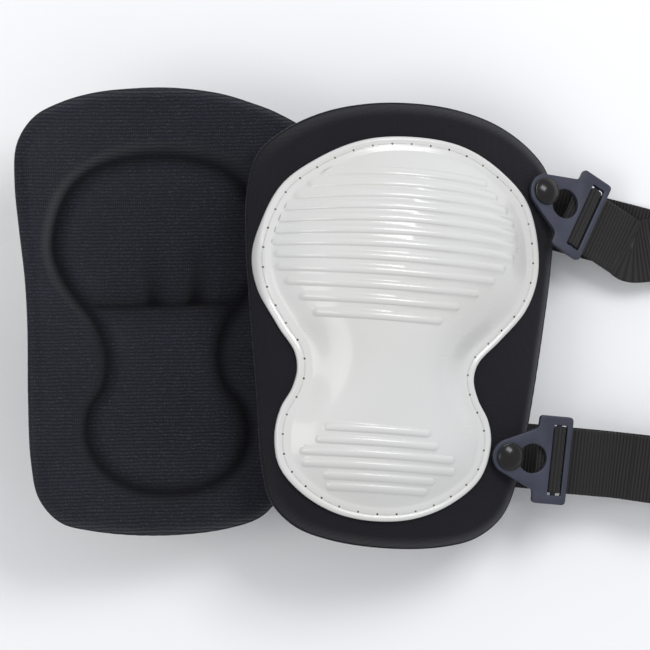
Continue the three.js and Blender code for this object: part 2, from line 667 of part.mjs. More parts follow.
function strapAndHook(side, level) {
  const hooked = side === "right";
  const frame = hooked ? studdedHookFrame(level, HOOK_TOWARDS[level]) : looseHookFrame(level);
  const end = hooked ? swingingLoopGeometry() : loopGeometry();
  const run = hooked ? hookedStrap(level, frame) : looseStrap(level, frame);
  group.add(piece(`${side}_${level}_hook`, hookGeometry().applyMatrix4(frame), plastic));
  group.add(piece(`${side}_${level}_strap_end`, end.applyMatrix4(frame), elastic));
  group.add(piece(`${side}_${level}_strap`, run, elastic));
}

for (const [side, place] of [["right", rightPlace], ["left", leftPlace]]) {
  usePad(side);
  const made = pad(side);
  for (const mesh of made.children) mesh.geometry.applyMatrix4(place);
  group.add(made);
  strapAndHook(side, "upper");
  strapAndHook(side, "lower");
}

// The origin is under the middle of the pair, on the floor.
const bounds = new THREE.Box3().setFromObject(group, true);
const middle = bounds.getCenter(new THREE.Vector3());
group.position.set(-middle.x, -middle.y, -bounds.min.z);

export default group;
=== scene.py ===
"""The looks of a pair of strap-on knee pads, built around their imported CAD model.

Shapes are worked out in millimetres, in the frame of one pad, hook or strap, and are then
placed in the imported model's frame. In a pad's frame the cap faces +z and the knee is below.
"""
import json
import math

import bmesh
import bpy
import numpy as np
from mathutils import Matrix, Vector, noise


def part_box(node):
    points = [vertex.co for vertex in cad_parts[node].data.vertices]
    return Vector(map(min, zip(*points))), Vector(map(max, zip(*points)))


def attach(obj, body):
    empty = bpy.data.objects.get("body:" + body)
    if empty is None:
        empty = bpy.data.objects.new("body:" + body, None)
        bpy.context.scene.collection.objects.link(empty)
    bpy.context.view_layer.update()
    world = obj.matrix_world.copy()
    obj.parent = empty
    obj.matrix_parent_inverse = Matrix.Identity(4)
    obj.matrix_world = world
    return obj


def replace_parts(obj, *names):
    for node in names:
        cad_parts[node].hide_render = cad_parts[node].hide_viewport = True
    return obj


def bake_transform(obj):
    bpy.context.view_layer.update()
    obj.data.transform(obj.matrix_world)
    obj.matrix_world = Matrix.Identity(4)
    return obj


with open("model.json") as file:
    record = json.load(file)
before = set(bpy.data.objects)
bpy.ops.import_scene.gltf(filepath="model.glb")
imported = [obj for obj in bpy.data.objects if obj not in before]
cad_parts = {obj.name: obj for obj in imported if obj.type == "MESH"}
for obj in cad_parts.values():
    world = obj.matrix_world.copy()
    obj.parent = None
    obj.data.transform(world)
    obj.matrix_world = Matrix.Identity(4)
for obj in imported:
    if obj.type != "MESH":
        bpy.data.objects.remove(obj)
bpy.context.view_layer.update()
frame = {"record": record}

MM = 0.001

# ---- Driving dimensions, in millimetres: those of the CAD model, and those of the finer surfaces ----
GAP = 0.3
SKIN = 1.5
PAD_THICK = 16
CAP_THICK = 2.2
FLANGE = 8
DOME_HIGH = 19
DOME_LOW = 14
DOME_REACH = 19
RIM_ROLL = 7
RIM_FALL = 8
RIM_RISE = PAD_THICK - RIM_FALL - 2 * SKIN - GAP
CUSHION_RISE = 3
GROOVE_DEPTH = 4
GROOVE_WIDTH = 5

# The crown of a pad: its fall across, low and high on the pad, and its falls towards the two ends,
# each with the height that it starts from.
CROWN_ACROSS = (0.0016, 0.0028)
CROWN_ACROSS_Y = (-90, 60)
CROWN_TOP = (10, 0.001)
CROWN_BOTTOM = (-30, 0.0008)
DOME_WAIST = (-60, 0)
DOME_POWER = 1.3
DOME_BEHIND = 0.75

# The crease between the cushions: height, lean, and the depth and width of its sharp and soft parts.
FOLD_Y = 4
CREASE_LEAN = -0.02
CREASE_PARTS = [(2.0, 2.4), (2.0, 9)]
CREASE_MARGIN = 9
# The folds above the crease: where each starts, its lean and its depth.
KNEE_FOLDS = [(8, 0.10, 3.8), (-17, -0.05, 4.6)]
KNEE_FOLD_LENGTH = 46
KNEE_FOLD_WIDTHS = (5, 10)
KNEE_FOLD_START = (-0.08, 0.04)
KNEE_FOLD_FADE = 1.3
DEEP_FOLD = 5.5

# Half outlines, from the top centre down one side to the bottom centre.
PAD_OUTLINES = {
    "right": [
        (0, 128.3), (26, 126.4), (52, 119.6), (74, 107.4), (87, 94), (92.4, 72), (91.6, 40),
        (87.4, 0), (81.6, -46), (76.6, -84), (69.3, -106), (54.5, -119.4), (33, -126), (0, -128.6),
    ],
    "left": [
        (0, 129.4), (27, 128.8), (46, 126.6), (65, 121.4), (82, 112.5), (91.6, 97), (91.8, 75),
        (88.2, 50), (83.2, 20), (80.4, -10), (78.8, -50), (76.6, -85), (72, -106), (59.3, -120.2),
        (40, -125.6), (0, -129),
    ],
}
# The left pad's other half, which isn't the mirror image of the first.
LEFT_FAR_OUTLINE = [
    (0, 129.4), (28.5, 125.8), (46, 120.4), (62, 113.9), (82, 100.5), (89.6, 84), (93, 60), (90.8, 20),
    (85.2, -20), (79.6, -60), (76.3, -80), (71, -104), (60, -118.5), (40, -125.6), (0, -129),
]
CAP_OUTLINE = [
    (0, 109.2), (30, 105.5), (56, 92.5), (75, 74.5), (85, 40), (80, 15), (66, -5), (54.5, -19),
    (52.4, -29), (55.3, -40), (61.8, -52), (64.3, -66), (60, -85), (45.4, -100), (24, -110.5), (0, -113.7),
]
CUSHION_OUTLINE = [
    (0, 91), (36, 84), (54, 69), (64, 38), (56, 16), (40, -6), (34, -25),
    (37, -43), (46, -56), (48, -73), (40, -90), (24, -101), (0, -105),
]
# The point, near the waist, that a pad's rings and directions are taken from.
POLE = np.array([0, -20])
WAIST_REACH = 28

# The middle line of each outline on each pad: shift, lean and bow at the waist.
MIDDLES = {
    "right": {"pad": (1.5, 0, 0), "cap": (-5, 0.04, -4), "cushion": (4, 0.03, -2)},
    "left": {"pad": (4.5, -0.035, 0), "cap": (0.5, 0.04, -4), "cushion": (5, 0.03, 0)},
}
STUDS_IN = {"right": 0, "left": 4}

# Bars of the cap: first height, pitch and its growth from bar to bar, half lengths.
BAR_WIDTH = 4.6
BAR_HEIGHT = 1.3
BAR_ARCH = (0.0004, 0.0014)
BAR_ARCH_Y = (20, 90)
BAR_ROUNDNESS = 0.6
UPPER_BARS = (88.7, 6.2, 0.13, [49, 56, 63, 68, 71, 72, 71, 67, 63, 55.5, 45.5, 36.5])
LOWER_BARS = (-60.4, 7.4, -0.1, [31, 36, 45.5, 45.5, 33, 30])
# How far the bars' middles are from the cap's: at the low and the high end of a span of heights.
UPPER_SHIFT = (-14.3, -4.3, 12, 60)
LOWER_SHIFT = (-2.5, -8, -85, -62)
# Where the surface has a row of points across a bar, in half widths from its crest.
BAR_PROFILE = (-1.1, -1, -0.94, -0.84, -0.65, -0.35, 0, 0.35, 0.65, 0.84, 0.94, 1, 1.1)
CLEAR_OF_BARS = 0.9

# The sewn flange, from its inner edge out: insets of its rings of points, its lip and its seam's dip.
FLANGE_INSETS = (8, 7.6, 7, 6.3, 5.6, 5, 4.4, 3.7, 3, 2.4, 1.8, 1.3, 0.9, 0.6, 0.35, 0.15, 0.04, 0)
LIP_INSET = 1.6
LIP_HEIGHT = 0.45
SEAM_DIP = 0.3
SEAM_WIDTH = 0.9
STITCH_PITCH = 11.4
STITCH_INSET = 4.2
STITCH_STEPS = 8
THREAD_RADII = (0.2, 0.36)
THREAD_ARCH = 0.22
THREAD_SUNK = 0.25
HOLE_MOUTH = 0.62
HOLE_RISE = 0.16

POST_RADIUS = 3.5
BUTTON_RADIUS = 8
BUTTON_BASE = 6.7
BUTTON_HEIGHT = 3.6
BUTTON_BEAD = 0.6
BUTTON_NECK = (0.75, 1.22)
BUTTON_CROWN_RADIUS = 7.2
BUTTON_CROWN_DROP = 2.3
WASHER_RADIUS = 4.1
WASHER = 1.2
WASHER_TOP = -SKIN - 2.4
# Each stud's height on the pad, inset from its edge, and leans in degrees.
STUDS = {"upper": (83, 10.5, 3, -12), "lower": (-71, 13, 0, -9)}

HOOK_THICK = 3.2
HOOK_LIFT = 3
NOSE_RADIUS = 10.2
KEYHOLE_RADIUS = 4
HOLE_X = 14.2
HOLE_RADIUS = 8.65
SHOULDER = (16.4, 18.2)
BLOCK = (37.1, 25.65)
SLOT = (25.4, 33.9, 20.5)
CENTRE_BAR = (28.2, 31.2, -0.9, 1)
HOOK_CORNER = 2.6
SLOT_CORNER = 1
HOOK_BEVEL = 0.55
CENTRE_BAR_BEVEL = 0.5
HOOK_TOWARDS = {"upper": Vector((0.905, -0.425, 0)), "lower": Vector((0.995, -0.105, 0))}

WEB = 1.6
WEB_HALF = 19
WEB_LOW = -GAP - WEB / 2
WEB_HIGH = CENTRE_BAR[3] + GAP + WEB / 2
LOOP_END = 46
SWING_RADIUS = 60
STRAP_Y = {"upper": 60, "lower": -72}
SEWN_INSETS = {"right": (21, 13, 5), "left": (5, 12, 19)}
LOOSE_HOOK_X = 62
LOOSE_HOOK_Y = {"upper": 68, "lower": -64}
# From a hook: where its strap's end piece stops, and how far that piece follows only the hook.
CUT_AT = {"right": SWING_RADIUS + 16, "left": LOOP_END + 40}

# Each pad's place, and its turns about z and y in degrees, before SHIFT.
RIGHT_AT, RIGHT_TURNS = (44, -0.6, 74.8), (-4, 15)
LEFT_AT, LEFT_TURNS = (-96, 7.5, 27.5), (0.8, 191)


# ---- Curves and outlines ----
def lerp(a, b, share):
    return a + (b - a) * share


def smoothstep(value, low, high):
    t = np.clip((value - low) / (high - low), 0, 1)
    return t * t * (3 - 2 * t)


def spline(points, u, closed=False):
    """Points at parameters u, from 0 to 1, on a centripetal Catmull-Rom curve."""
    points = np.asarray(points, float)
    count = len(points)
    spans = count if closed else count - 1
    along = np.asarray(u, float) * spans
    k = np.minimum(along.astype(int), spans - 1)
    t = (along - k)[:, None]
    if closed:
        p0, p1, p2, p3 = (points[(k + i) % count] for i in (-1, 0, 1, 2))
    else:
        longer = np.vstack([2 * points[0] - points[1], points, 2 * points[-1] - points[-2]])
        p0, p1, p2, p3 = (longer[k + i] for i in range(4))
    pairs = ((p0, p1), (p1, p2), (p2, p3))
    d0, d1, d2 = (np.sqrt(np.linalg.norm(b - a, axis=1, keepdims=True)) for a, b in pairs)
    m1 = p2 - p1 + d1 * ((p1 - p0) / d0 - (p2 - p0) / (d0 + d1))
    m2 = p2 - p1 + d1 * ((p3 - p2) / d2 - (p3 - p1) / (d1 + d2))
    return p1 + m1 * t + (3 * (p2 - p1) - 2 * m1 - m2) * t**2 + (2 * (p1 - p2) + m1 + m2) * t**3


def middle_x(middle, y):
    """Where an outline's middle line is at a height, from its shift, lean and bow at the waist."""
    shift, lean, bow = middle
    return shift + lean * y + bow * np.exp(-(((y - POLE[1]) / WAIST_REACH) ** 2))


def outline(half, u, middle, inset=0, far_half=None):
    """Points of a closed outline, from the bottom centre up the right side, moved in by inset.

    far_half is the left side's half outline where it isn't the mirror image of the right's.
    """
    ring = np.array(half[::-1] + [(-x, y) for x, y in (far_half or half)[1:-1]], float)
    step = 1e-4
    p = spline(ring, u % 1, closed=True)
    t = spline(ring, (u + step) % 1, closed=True) - spline(ring, (u - step) % 1, closed=True)
    t /= np.linalg.norm(t, axis=1, keepdims=True)
    y = p[:, 1] + t[:, 0] * inset
    return np.column_stack([p[:, 0] - t[:, 1] * inset + middle_x(middle, y), y])


# Parameters of the points that the outlines of a pad are kept as.
ROUND = np.arange(160) / 160


def use_pad(side):
    """Sets the outlines that the surfaces of one pad are worked out from."""
    global cap_middle, pad_edge, dome_edge, cushion_edge
    middles = MIDDLES[side]
    cap_middle = middles["cap"]
    far_half = LEFT_FAR_OUTLINE if side == "left" else None
    pad_edge = outline(PAD_OUTLINES[side], ROUND, middles["pad"], 0, far_half)
    dome_edge = outline(CAP_OUTLINE, ROUND, cap_middle, FLANGE)
    cushion_edge = outline(CUSHION_OUTLINE, ROUND, middles["cushion"])


def arc(centre, radius, start, end, steps):
    angles = np.linspace(start, end, steps)
    return [(centre[0] + radius * math.cos(a), centre[1] + radius * math.sin(a)) for a in angles]


def reach(edge, angles):
    """Distance from the pole to an outline in each direction."""
    d = edge - POLE
    return np.interp(angles, np.arctan2(d[:, 1], d[:, 0]), np.hypot(d[:, 0], d[:, 1]), period=2 * np.pi)


def inside(edge, x, y):
    return np.hypot(x - POLE[0], y - POLE[1]) < reach(edge, np.arctan2(y - POLE[1], x - POLE[0]))


def soft_distance(edge, x, y):
    """A distance to an outline that stays smooth in the middle."""
    a, b = edge, np.roll(edge, -1, axis=0)
    length = np.linalg.norm(b - a, axis=1)
    ux, uy = ((b - a) / length[:, None]).T
    dx, dy = x[:, None] - a[:, 0], y[:, None] - a[:, 1]
    along = dx * ux + dy * uy
    off2 = np.maximum((dx * uy - dy * ux) ** 2, 1e-4)
    end = length - along
    total = (along / np.sqrt(along**2 + off2) + end / np.sqrt(end**2 + off2)) / off2
    return np.sqrt(2 / total.sum(axis=1))


# ---- Surfaces of a pad ----
def crown(x, y):
    """Height of the curved sheet that the whole pad follows."""
    across = lerp(*CROWN_ACROSS, smoothstep(y, *CROWN_ACROSS_Y))
    top_from, top_fall = CROWN_TOP
    bottom_from, bottom_fall = CROWN_BOTTOM
    top, bottom = np.maximum(0, y - top_from), np.maximum(0, bottom_from - y)
    return -across * x**2 - top_fall * top**2 - bottom_fall * bottom**2


def dome(x, y):
    """Height of the cap's two domes above the crown."""
    rise = lerp(DOME_LOW, DOME_HIGH, smoothstep(y, *DOME_WAIST))
    full = 1 - np.exp(-((soft_distance(dome_edge, x, y) / DOME_REACH) ** DOME_POWER))
    return np.where(inside(dome_edge, x, y), rise * full, 0)


def rim_share(x, y):
    """How far a point is into the rolled rim, up to 1 at the pad's edge."""
    return np.maximum(0, 1 - soft_distance(pad_edge, x, y) / RIM_ROLL) ** 2


def cover_top(x, y):
    return crown(x, y) + dome(x, y) - RIM_FALL * rim_share(x, y)


def cap_top(x, y):
    return cover_top(x, y) + GAP + CAP_THICK


def lining_folds(x, y):
    """How far the crease between the cushions and the folds above it go into the lining."""
    sunk = smoothstep(soft_distance(cushion_edge, x, y), 0, CREASE_MARGIN) * inside(cushion_edge, x, y)
    line = FOLD_Y + CREASE_LEAN * x
    crease = sum(depth * np.exp(-(((y - line) / width) ** 2)) for depth, width in CREASE_PARTS)
    up = (y - line) / KNEE_FOLD_LENGTH
    fade = np.clip(1 - up, 0, 1) ** KNEE_FOLD_FADE * smoothstep(up, *KNEE_FOLD_START)
    width = lerp(*KNEE_FOLD_WIDTHS, np.clip(up, 0, 1))
    for start, lean, depth in KNEE_FOLDS:
        crease += depth * fade * np.exp(-(((x - start - lean * (y - line)) / width) ** 2))
    return sunk * crease


def lining_bottom(x, y):
    near = soft_distance(cushion_edge, x, y)
    groove = GROOVE_DEPTH * np.exp(-((near / GROOVE_WIDTH) ** 2))
    rise = np.where(inside(cushion_edge, x, y), CUSHION_RISE * (1 - np.exp(-near / GROOVE_WIDTH)), 0)
    base = crown(x, y) + DOME_BEHIND * dome(x, y) - PAD_THICK + RIM_RISE * rim_share(x, y)
    return base + groove - rise + lining_folds(x, y)


# ---- Meshes ----
def grid_faces(rows, cols, closed=False, start=0, flip=False):
    """Quads between rows of points; closed joins each row's last point to its first."""
    i, j = np.meshgrid(np.arange(rows - 1), np.arange(cols if closed else cols - 1), indexing="ij")
    a = i * cols + j
    b = i * cols + (j + 1) % cols
    quads = np.stack([a, b, b + cols, a + cols], axis=-1).reshape(-1, 4) + start
    return (quads[:, ::-1] if flip else quads).tolist()


def mesh_object(name, points, faces, *materials, uv=None, merge=None):
    """A smooth-shaded mesh object from points in millimetres; uv is one pair in millimetres a point."""
    mesh = bpy.data.meshes.new(name)
    mesh.from_pydata((np.asarray(points, float) * MM).tolist(), [], faces)
    for material in materials:
        mesh.materials.append(material)
    if uv is not None:
        layer = mesh.uv_layers.new(name="along")
        corners = np.zeros(len(mesh.loops), np.int32)
        mesh.loops.foreach_get("vertex_index", corners)
        layer.data.foreach_set("uv", (np.asarray(uv, float) * MM)[corners].astype(np.float32).ravel())
    made = bpy.data.objects.new(name, mesh)
    bpy.context.scene.collection.objects.link(made)
    if merge:
        weld(made, merge)
    mesh.shade_smooth()
    return made


def weld(made, distance):
    """Joins an object's points that are closer than distance, in millimetres, and turns its faces out."""
    work = bmesh.new()
    work.from_mesh(made.data)
    bmesh.ops.remove_doubles(work, verts=work.verts, dist=distance * MM)
    bmesh.ops.recalc_face_normals(work, faces=work.faces)
    work.to_mesh(made.data)
    work.free()


def polar_rings(turns, stations):
    """Points on rings about the pole: stations gives the rings' distances at an array of angles."""
    angles = 2 * np.pi * np.arange(turns) / turns
    r = np.array(stations(angles))
    return POLE[0] + r * np.cos(angles), POLE[1] + r * np.sin(angles)


def sheet_stations(angles):
    """Distances of the rings of a cloth that covers a pad: close together towards its edge."""
    cushion, pad = reach(cushion_edge, angles), reach(pad_edge, angles)
    inner = [cushion * share for share in np.linspace(0.004, 1, 52)]
    outer = [lerp(cushion, pad - RIM_ROLL, share) for share in np.linspace(0, 1, 24)[1:]]
    rim = [pad - inset for inset in (6, 5, 4, 3.2, 2.4, 1.7, 1.1, 0.6, 0.2, 0)]
    return inner + outer + rim


def sheet_body(name, top, bottom, material, turns=288):
    """A closed body between two heights over the whole pad, with a round edge."""
    x, y = polar_rings(turns, sheet_stations)
    upper = np.stack([x, y, top(x.ravel(), y.ravel()).reshape(x.shape)], axis=-1)
    lower = np.stack([x, y, bottom(x.ravel(), y.ravel()).reshape(x.shape)], axis=-1)
    rim_up, rim_low = upper[-1], lower[-1]
    out = rim_up[:, :2] - POLE
    out /= np.linalg.norm(out, axis=1, keepdims=True)
    edge = []
    for turn in np.linspace(0, np.pi, 7)[1:-1]:
        middle = lerp(rim_up, rim_low, (1 - math.cos(turn)) / 2)
        bulge = math.sin(turn) * (rim_up[:, 2] - rim_low[:, 2]) / 2
        edge.append(np.column_stack([middle[:, :2] + out * bulge[:, None], middle[:, 2]]))
    rows = np.concatenate([upper, np.array(edge), lower[::-1]])
    points = rows.reshape(-1, 3)
    faces = grid_faces(len(rows), turns, closed=True)
    last = (len(rows) - 1) * turns
    faces.append(list(range(turns))[::-1])
    faces.append(list(range(last, last + turns)))
    return mesh_object(name, points, faces, material, merge=1e-4)


# ---- Materials ----
# Pitches of threads and ribs, in metres.
THREAD_STRAND = 0.0006
COVER_WEAVE = 0.00075
KNIT_ROW = 0.00205
KNIT_LOOP = 0.0012
WEB_RIB = 0.002
WEB_YARN = 0.001


def node(tree, kind, inputs=None, **settings):
    """One shader node. Each input is a plain value or another node's output."""
    made = tree.nodes.new("ShaderNode" + kind)
    for key, value in settings.items():
        setattr(made, key, value)
    for key, value in (inputs or {}).items():
        if isinstance(value, bpy.types.NodeSocket):
            tree.links.new(value, made.inputs[key])
        else:
            made.inputs[key].default_value = value
    return made


def maths(tree, operation, a, b=0.0, c=0.0):
    return node(tree, "Math", {0: a, 1: b, 2: c}, operation=operation).outputs[0]


def new_material(name, **uniform):
    """A material with a Principled shader, and values that are the same all over set on its sockets."""
    material = bpy.data.materials.new(name)
    material.use_nodes = True
    shader = material.node_tree.nodes["Principled BSDF"]
    for key, value in uniform.items():
        shader.inputs[key.replace("_", " ")].default_value = value
    return material, material.node_tree, shader


def feed(tree, shader, **sources):
    """Gives the shader the values that vary over the surface."""
    for key, source in sources.items():
        tree.links.new(source, shader.inputs[key.replace("_", " ")])


def noise_of(tree, vector, scale, detail=3.0, roughness=0.55):
    """A noise about 0.5, scale in cycles a metre."""
    inputs = {"Vector": vector, "Scale": scale, "Detail": detail, "Roughness": roughness}
    return node(tree, "TexNoise", inputs).outputs["Fac"]


def stretched(tree, vector, scale):
    """Coordinates scaled by a different amount along each axis."""
    return node(tree, "Mapping", {"Vector": vector, "Scale": scale}).outputs["Vector"]


def ramp(tree, share, low, high):
    """A colour ramp between two (position, colour) stops."""
    made = node(tree, "ValToRGB", {"Fac": share})
    for stop, (position, colour) in zip(made.color_ramp.elements, (low, high)):
        stop.position = position
        stop.color = (*colour, 1)
    return made.outputs["Color"]


def blended(tree, share, start, end):
    """One colour going over to another, by a share from 0 to 1."""
    # a Mix node's sockets 6 and 7 are its two colours, and its output 2 is theirs
    return node(tree, "Mix", {0: share, 6: start, 7: end}, data_type="RGBA").outputs[2]


def span(tree, value, low, high):
    """A share from 0 to 1 as a value from low to high."""
    return node(tree, "MapRange", {"Value": value, "To Min": low, "To Max": high}).outputs["Result"]


def smooth_above(tree, value, low, high):
    """A share that goes smoothly from 0 to 1 as a value goes from low to high."""
    inputs = {"Value": value, "From Min": low, "From Max": high}
    return node(tree, "MapRange", inputs, interpolation_type="SMOOTHSTEP").outputs["Result"]


def ribs(tree, place, pitch):
    """Round ribs, a pitch apart in metres, with sharp valleys between."""
    return maths(tree, "ABSOLUTE", maths(tree, "SINE", maths(tree, "MULTIPLY", place, math.pi / pitch)))


def bump(tree, shader, height, distance, strength=1.0):
    inputs = {"Height": height, "Distance": distance, "Strength": strength}
    feed(tree, shader, Normal=node(tree, "Bump", inputs).outputs["Normal"])


def local_axes(tree):
    """Coordinates in the piece's own frame, kept by put(), and its x, y and z."""
    vector = node(tree, "Attribute", attribute_name="local").outputs["Vector"]
    return vector, node(tree, "SeparateXYZ", {"Vector": vector}).outputs


def shell_plastic():
    """Glossy off-white moulded plastic, a little uneven, with faint scuffs."""
    material, tree, shader = new_material(
        "shell_plastic", Coat_Weight=0.35, Coat_Roughness=0.08, Specular_IOR_Level=0.5
    )
    vector, _ = local_axes(tree)
    tint = noise_of(tree, vector, 9, 2)
    colour = ramp(tree, tint, (0.3, (0.66, 0.65, 0.615)), (0.7, (0.72, 0.72, 0.70)))
    feed(tree, shader, Base_Color=colour)
    scuffs = noise_of(tree, stretched(tree, vector, (1, 9, 1)), 45, 6, 0.7)
    feed(tree, shader, Roughness=span(tree, scuffs, 0.16, 0.34))
    waves = noise_of(tree, vector, 55, 2)
    fine = noise_of(tree, vector, 900, 3)
    bump(tree, shader, maths(tree, "MULTIPLY_ADD", fine, 0.06, waves), 0.0004, 0.35)
    return material


def dark_hole():
    """The shaded mouth of a needle hole."""
    material, tree, shader = new_material("stitch_hole", Roughness=0.9)
    vector, _ = local_axes(tree)
    colour = ramp(tree, noise_of(tree, vector, 35, 1), (0.4, (0.02, 0.018, 0.015)), (0.6, (0.2, 0.18, 0.15)))
    feed(tree, shader, Base_Color=colour)
    return material


def sewing_thread():
    """Twisted off-white thread: slanting strands along its length."""
    material, tree, shader = new_material("cap_thread", Roughness=0.75)
    vector, axes = local_axes(tree)
    slant = maths(tree, "ADD", maths(tree, "ADD", axes["X"], axes["Y"]), axes["Z"])
    strands = ribs(tree, slant, THREAD_STRAND)
    shade = maths(tree, "MULTIPLY_ADD", noise_of(tree, vector, 300), 0.3, strands)
    colour = ramp(tree, shade, (0.2, (0.5, 0.49, 0.46)), (1.0, (0.72, 0.71, 0.68)))
    feed(tree, shader, Base_Color=colour)
    bump(tree, shader, strands, 0.0001)
    return material


def woven_cover():
    """Closely woven black nylon, faintly purple, with a soft sheen."""
    material, tree, shader = new_material(
        "woven_cover", Sheen_Weight=0.1, Sheen_Roughness=0.45, Specular_IOR_Level=0.25
    )
    vector, axes = local_axes(tree)
    over = ribs(tree, axes["X"], COVER_WEAVE)
    under = ribs(tree, axes["Y"], COVER_WEAVE)
    yarn = maths(tree, "MULTIPLY", over, under)
    blotch = noise_of(tree, vector, 30, 4)
    shade = maths(tree, "MULTIPLY_ADD", yarn, 0.45, maths(tree, "MULTIPLY", blotch, 0.55))
    colour = ramp(tree, shade, (0.2, (0.003, 0.0026, 0.005)), (0.75, (0.0085, 0.0078, 0.0135)))
    feed(tree, shader, Base_Color=colour, Roughness=span(tree, blotch, 0.62, 0.85))
    bump(tree, shader, maths(tree, "MULTIPLY_ADD", noise_of(tree, vector, 1500, 2), 0.35, yarn), 0.00022)
    return material


def knit_lining():
    """Dark navy knit: fine ribs across the pad, broken into stitches, with paler flecks; its colour is
    darkened in the groove and the folds as painted shade.
    """
    material, tree, shader = new_material("knit_lining", Sheen_Roughness=0.5, Specular_IOR_Level=0.12)
    vector, axes = local_axes(tree)
    drift = maths(tree, "MULTIPLY", noise_of(tree, vector, 90, 2), 0.0016)
    row = ribs(tree, maths(tree, "ADD", axes["Y"], drift), KNIT_ROW)
    loop = ribs(tree, maths(tree, "ADD", axes["X"], drift), KNIT_LOOP)
    stitch = maths(tree, "MULTIPLY", row, maths(tree, "MULTIPLY_ADD", loop, 0.4, 0.6))
    flecks = noise_of(tree, vector, 1300, 3, 0.7)
    blotch = noise_of(tree, vector, 22, 4)
    fleck_share = maths(tree, "MULTIPLY", smooth_above(tree, flecks, 0.52, 0.68), stitch)
    shade = maths(tree, "MULTIPLY_ADD", stitch, 0.5, maths(tree, "MULTIPLY", blotch, 0.5))
    base = ramp(tree, shade, (0.2, (0.0042, 0.0048, 0.0085)), (0.8, (0.0165, 0.0175, 0.026)))
    flecked = blended(tree, maths(tree, "MULTIPLY", fleck_share, 0.7), base, (0.085, 0.085, 0.095, 1))
    # painted shade: the colour goes darker down in the groove and the folds, and the sheen is cut there too
    groove_shade = maths(tree, "MULTIPLY", node(tree, "Attribute", attribute_name="sunk").outputs["Fac"], 0.85)
    shaded = blended(tree, groove_shade, flecked, (0.0012, 0.0012, 0.002, 1))
    sheen, roughness = span(tree, groove_shade, 0.3, 0.03), span(tree, stitch, 0.97, 0.82)
    feed(tree, shader, Base_Color=shaded, Sheen_Weight=sheen, Roughness=roughness)
    bump(tree, shader, maths(tree, "MULTIPLY_ADD", flecks, 0.35, stitch), 0.0003)
    return material


def ribbed_webbing():
    """Black elastic webbing: cross ribs and a fine yarn grain, along its own length and width."""
    material, tree, shader = new_material(
        "ribbed_webbing", Sheen_Weight=0.2, Sheen_Roughness=0.4, Specular_IOR_Level=0.3
    )
    along = node(tree, "UVMap", uv_map="along").outputs["UV"]
    axes = node(tree, "SeparateXYZ", {"Vector": along}).outputs
    rib = ribs(tree, axes["Y"], WEB_RIB)
    yarn = ribs(tree, axes["X"], WEB_YARN)
    weave = maths(tree, "MULTIPLY", rib, maths(tree, "MULTIPLY_ADD", yarn, 0.3, 0.7))
    grain = noise_of(tree, along, 900, 3)
    shade = maths(tree, "MULTIPLY_ADD", weave, 0.6, maths(tree, "MULTIPLY", grain, 0.4))
    colour = ramp(tree, shade, (0.15, (0.0045, 0.004, 0.004)), (0.85, (0.027, 0.024, 0.024)))
    feed(tree, shader, Base_Color=colour, Roughness=span(tree, grain, 0.6, 0.85))
    bump(tree, shader, maths(tree, "MULTIPLY_ADD", grain, 0.25, weave), 0.0005)
    return material


def hook_plastic():
    """Satin dark blue-grey plastic with a fine moulded grain."""
    material, tree, shader = new_material("hook_plastic", Specular_IOR_Level=0.45)
    vector, _ = local_axes(tree)
    cloud = noise_of(tree, vector, 60, 4)
    colour = ramp(tree, cloud, (0.35, (0.026, 0.029, 0.045)), (0.65, (0.038, 0.043, 0.066)))
    feed(tree, shader, Base_Color=colour, Roughness=span(tree, cloud, 0.36, 0.52))
    bump(tree, shader, noise_of(tree, vector, 1600, 3), 0.00008, 0.6)
    return material


def stud_enamel():
    """Glossy black lacquered metal with hairline scratches."""
    material, tree, shader = new_material(
        "stud_enamel", Coat_Weight=0.2, Coat_Roughness=0.06, Specular_IOR_Level=0.3
    )
    vector, _ = local_axes(tree)
    hairs = noise_of(tree, stretched(tree, vector, (1, 14, 1)), 260, 4, 0.7)
    colour = ramp(tree, hairs, (0.4, (0.005, 0.0045, 0.0045)), (0.8, (0.013, 0.011, 0.011)))
    feed(tree, shader, Base_Color=colour, Roughness=span(tree, hairs, 0.1, 0.34))
    bump(tree, shader, hairs, 0.00005, 0.4)
    return material


SHELL = shell_plastic()
HOLE = dark_hole()
THREAD = sewing_thread()
COVER = woven_cover()
KNIT = knit_lining()
WEBBING = ribbed_webbing()
HOOK = hook_plastic()
STUD = stud_enamel()


# ---- Where things are ----
def turn(degrees, axis):
    return Matrix.Rotation(math.radians(degrees), 4, axis)


def pad_place(at, turns):
    return Matrix.Translation(at) @ turn(turns[0], "Z") @ turn(turns[1], "Y")


def apply(matrix, points):
    m = np.array(matrix, float)
    return np.asarray(points, float) @ m[:3, :3].T + m[:3, 3]


def put(made, place):
    """Moves a mesh from its part's own frame, which its materials go on using; place is in millimetres."""
    mesh = made.data
    own = np.zeros(3 * len(mesh.vertices), np.float32)
    mesh.vertices.foreach_get("co", own)
    mesh.attributes.new("local", "FLOAT_VECTOR", "POINT").data.foreach_set("vector", own)
    metres = place.copy()
    metres.translation = place.translation * MM
    mesh.transform(metres)
    return made


# ---- Cap ----
def bars():
    """Each bar's height on the pad, its half length and how far its middle is from the cap's."""
    made = []
    for bars_of_dome, shift in ((UPPER_BARS, UPPER_SHIFT), (LOWER_BARS, LOWER_SHIFT)):
        first, pitch, growth, halves = bars_of_dome
        at_low, at_high, low, high = shift
        for i, half in enumerate(halves):
            level = first - pitch * i - growth * i * i
            made.append((level, half, lerp(at_low, at_high, smoothstep(level, low, high))))
    return made


def arch_at(y):
    """How strongly the bars arch at a height: more, the higher they are."""
    return lerp(*BAR_ARCH, smoothstep(y, *BAR_ARCH_Y))


